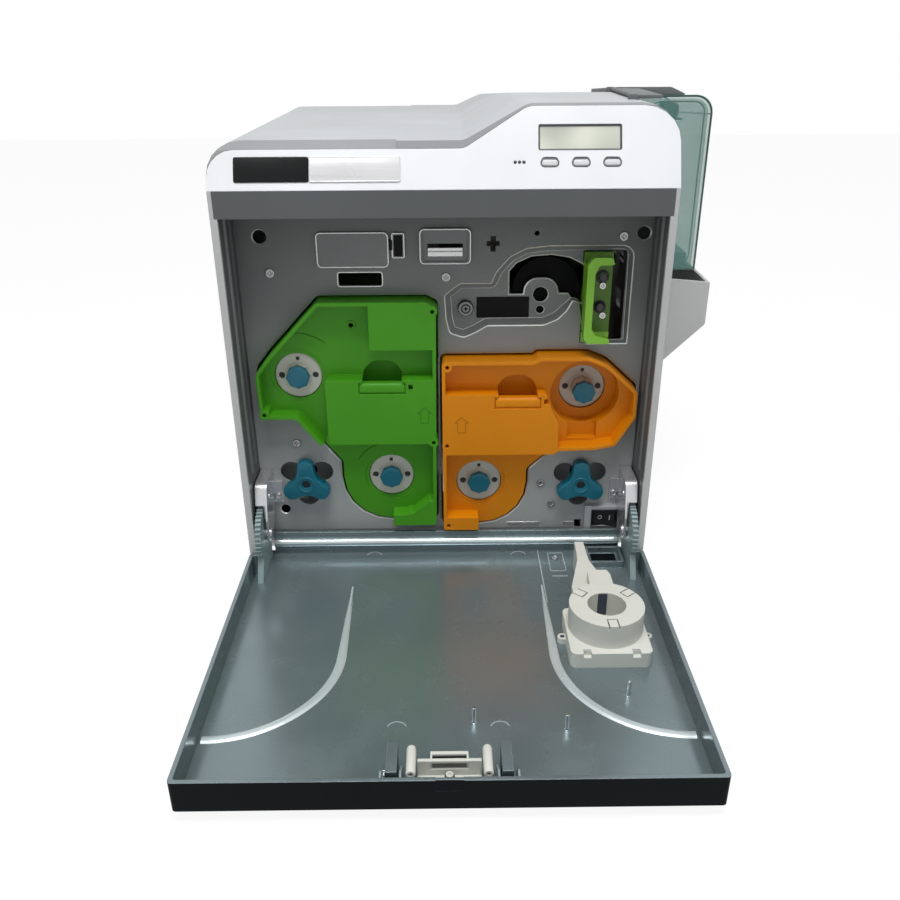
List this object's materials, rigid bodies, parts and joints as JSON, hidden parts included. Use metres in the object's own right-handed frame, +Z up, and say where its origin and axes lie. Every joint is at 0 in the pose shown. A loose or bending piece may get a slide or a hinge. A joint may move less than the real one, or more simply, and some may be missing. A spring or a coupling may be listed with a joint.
{
  "type": "id card printer",
  "caption": "Desktop retransfer card printer with a drop-down front door, pull-out film and ribbon cassettes, side card hopper and output pocket.",
  "frame": {"origin": "middle of the whole outline's footprint, with the door open, on the surface under the feet", "axes": "+X to the machine's right seen from its front, +Y from the front to the rear, +Z up"},
  "size_m": [0.343, 0.55, 0.3257],
  "materials": {
    "top_grey": "fine texture",
    "fascia_white": "satin",
    "side_silver": "satin",
    "frame_grey": "fine texture",
    "plate_grey": "satin",
    "guard_grey": "satin",
    "steel": "brushed",
    "black_rubber": "matte",
    "black_plastic": "satin",
    "display": "clear",
    "lamp": "gloss",
    "button_silver": "satin",
    "door_blue_grey": "gloss",
    "gear_grey": "satin",
    "cream": "matte",
    "teal": "satin",
    "green": "satin",
    "orange": "satin",
    "spool_white": "satin",
    "lime": "satin",
    "roller_white": "matte",
    "roller_dark": "matte",
    "pocket_grey": "fine texture",
    "smoked_green": "clear",
    "dark_green": "satin",
    "board": "satin",
    "zinc": "satin"
  },
  "bodies": {
    "chassis": {"base_tray": "zinc", "feet": "black_rubber", "left_side_cover": "side_silver", "right_side_cover": "side_silver", "top_cover": "top_grey", "fascia": "fascia_white", "front_frame": "frame_grey", "display_window": "display", "status_lights": "lamp", "front_plate": "plate_grey", "plate_screws": "steel", "guard_plate": "guard_grey", "access_panel": "guard_grey", "card_slot_bezel": "guard_grey", "hinge_brackets": "steel", "hinge_pins": "steel", "switch_housing": "steel", "rear_panel": "side_silver", "power_inlet": "black_plastic", "data_ports": "steel", "output_pocket": "pocket_grey", "hopper_frame": "dark_green", "hopper_hinge": "pocket_grey", "bulkhead": "zinc", "print_head": "zinc", "main_board": "board", "power_supply": "black_plastic", "drive_motor": "steel"},
    "front_door": {"front_door": "door_blue_grey", "door_gears": "gear_grey", "latch_bracket": "cream", "tag_reader": "cream", "reader_arm": "cream"},
    "door_latch": {"door_latch": "cream"},
    "left_damper": {"left_damper": "black_plastic"},
    "right_damper": {"right_damper": "black_plastic"},
    "left_button": {"left_button": "button_silver"},
    "middle_button": {"middle_button": "button_silver"},
    "right_button": {"right_button": "button_silver"},
    "power_rocker": {"power_rocker": "black_plastic"},
    "left_knob": {"left_knob": "teal"},
    "right_knob": {"right_knob": "teal"},
    "green_cassette": {"green_cassette": "green"},
    "orange_cassette": {"orange_cassette": "orange"},
    "green_upper_spool": {"green_upper_spool": "spool_white"},
    "green_lower_spool": {"green_lower_spool": "spool_white"},
    "orange_upper_spool": {"orange_upper_spool": "spool_white"},
    "orange_lower_spool": {"orange_lower_spool": "spool_white"},
    "green_upper_spindle": {"green_upper_spindle": "steel"},
    "green_lower_spindle": {"green_lower_spindle": "steel"},
    "orange_upper_spindle": {"orange_upper_spindle": "steel"},
    "orange_lower_spindle": {"orange_lower_spindle": "steel"},
    "cleaning_cartridge": {"cleaning_cartridge": "lime"},
    "cleaning_roller": {"cleaning_roller": "roller_white"},
    "tape_roller": {"tape_roller": "roller_dark"},
    "hopper_cover": {"hopper_cover": "smoked_green", "hopper_cap": "pocket_grey"},
    "card_weight": {"card_weight": "dark_green"},
    "heat_roller": {"heat_roller": "roller_dark"},
    "platen_shaft": {"platen_shaft": "black_plastic"}
  },
  "joints": [
    {"name": "door_hinge", "type": "hinge", "parent": "chassis", "child": "front_door", "pos_m": [-0.0315, -0.053, 0.0375], "axis": [1, 0, 0], "range_deg": [-90, 0]},
    {"name": "left_damper_spin", "type": "hinge", "parent": "chassis", "child": "left_damper", "pos_m": [-0.163, -0.04608, 0.06334], "axis": [1, 0, 0], "range_deg": [-10, 315]},
    {"name": "right_damper_spin", "type": "hinge", "parent": "chassis", "child": "right_damper", "pos_m": [0.1, -0.04608, 0.06334], "axis": [1, 0, 0], "range_deg": [-10, 315]},
    {"name": "latch_slide", "type": "slide", "parent": "front_door", "child": "door_latch", "axis": [0, 1, 0], "range_m": [0, 0.004], "stiffness_N_per_m": 250, "springref_m": -0.002},
    {"name": "left_button_press", "type": "slide", "parent": "chassis", "child": "left_button", "axis": [0, 0.9135, -0.4067], "range_m": [0, 0.0006], "stiffness_N_per_m": 600, "springref_m": -0.0005},
    {"name": "middle_button_press", "type": "slide", "parent": "chassis", "child": "middle_button", "axis": [0, 0.9135, -0.4067], "range_m": [0, 0.0006], "stiffness_N_per_m": 600, "springref_m": -0.0005},
    {"name": "right_button_press", "type": "slide", "parent": "chassis", "child": "right_button", "axis": [0, 0.9135, -0.4067], "range_m": [0, 0.0006], "stiffness_N_per_m": 600, "springref_m": -0.0005},
    {"name": "power_rocker_tilt", "type": "hinge", "parent": "chassis", "child": "power_rocker", "pos_m": [0.0855, -0.027, 0.034], "axis": [0, 0, 1], "range_deg": [0, 13]},
    {"name": "left_knob_turn", "type": "hinge", "parent": "chassis", "child": "left_knob", "pos_m": [-0.1329, -0.0305, 0.0658], "axis": [0, 1, 0], "continuous": true},
    {"name": "right_knob_turn", "type": "hinge", "parent": "chassis", "child": "right_knob", "pos_m": [0.0661, -0.0305, 0.0633], "axis": [0, 1, 0], "continuous": true},
    {"name": "green_cassette_slide", "type": "slide", "parent": "chassis", "child": "green_cassette", "axis": [0, -1, 0], "range_m": [0, 0.11]},
    {"name": "orange_cassette_slide", "type": "slide", "parent": "chassis", "child": "orange_cassette", "axis": [0, -1, 0], "range_m": [0, 0.11]},
    {"name": "green_upper_spindle_turn", "type": "hinge", "parent": "chassis", "child": "green_upper_spindle", "pos_m": [-0.133, 0.0765, 0.1468], "axis": [0, 1, 0], "continuous": true},
    {"name": "green_upper_spool_turn", "type": "hinge", "parent": "green_cassette", "child": "green_upper_spool", "pos_m": [-0.133, 0.0165, 0.1468], "axis": [0, 1, 0], "continuous": true},
    {"name": "green_lower_spindle_turn", "type": "hinge", "parent": "chassis", "child": "green_lower_spindle", "pos_m": [-0.0713, 0.0765, 0.0691], "axis": [0, 1, 0], "continuous": true},
    {"name": "green_lower_spool_turn", "type": "hinge", "parent": "green_cassette", "child": "green_lower_spool", "pos_m": [-0.0713, 0.0165, 0.0691], "axis": [0, 1, 0], "continuous": true},
    {"name": "orange_upper_spindle_turn", "type": "hinge", "parent": "chassis", "child": "orange_upper_spindle", "pos_m": [0.0657, 0.0765, 0.1319], "axis": [0, 1, 0], "continuous": true},
    {"name": "orange_upper_spool_turn", "type": "hinge", "parent": "orange_cassette", "child": "orange_upper_spool", "pos_m": [0.0657, 0.0165, 0.1319], "axis": [0, 1, 0], "continuous": true},
    {"name": "orange_lower_spindle_turn", "type": "hinge", "parent": "chassis", "child": "orange_lower_spindle", "pos_m": [-0.0076, 0.0765, 0.0637], "axis": [0, 1, 0], "continuous": true},
    {"name": "orange_lower_spool_turn", "type": "hinge", "parent": "orange_cassette", "child": "orange_lower_spool", "pos_m": [-0.0076, 0.0165, 0.0637], "axis": [0, 1, 0], "continuous": true},
    {"name": "cleaning_cartridge_slide", "type": "slide", "parent": "chassis", "child": "cleaning_cartridge", "axis": [0, -1, 0], "range_m": [0, 0.1]},
    {"name": "cleaning_roller_turn", "type": "hinge", "parent": "cleaning_cartridge", "child": "cleaning_roller", "pos_m": [0.0732, 0.0165, 0.2139], "axis": [0, 1, 0], "continuous": true},
    {"name": "tape_roller_turn", "type": "hinge", "parent": "cleaning_cartridge", "child": "tape_roller", "pos_m": [0.0723, 0.0165, 0.1936], "axis": [0, 1, 0], "continuous": true},
    {"name": "hopper_cover_hinge", "type": "hinge", "parent": "chassis", "child": "hopper_cover", "pos_m": [0.0865, 0.0865, 0.3242], "axis": [0, -1, 0], "range_deg": [0, 70]},
    {"name": "card_weight_slide", "type": "slide", "parent": "chassis", "child": "card_weight", "axis": [0, 0, 1], "range_m": [0, 0.08]},
    {"name": "heat_roller_turn", "type": "hinge", "parent": "chassis", "child": "heat_roller", "pos_m": [0.0365, 0.0365, 0.2035], "axis": [0, 1, 0], "continuous": true},
    {"name": "platen_shaft_turn", "type": "hinge", "parent": "chassis", "child": "platen_shaft", "pos_m": [-0.0175, 0.0365, 0.1928], "axis": [0, 1, 0], "continuous": true}
  ],
  "couplings": [
    {"joint": "green_upper_spool_turn", "follows": "green_upper_spindle_turn", "ratio": 1},
    {"joint": "green_lower_spool_turn", "follows": "green_lower_spindle_turn", "ratio": 1},
    {"joint": "orange_upper_spool_turn", "follows": "orange_upper_spindle_turn", "ratio": 1},
    {"joint": "orange_lower_spool_turn", "follows": "orange_lower_spindle_turn", "ratio": 1},
    {"joint": "left_damper_spin", "follows": "door_hinge", "ratio": -3.4167},
    {"joint": "right_damper_spin", "follows": "door_hinge", "ratio": -3.4167}
  ]
}
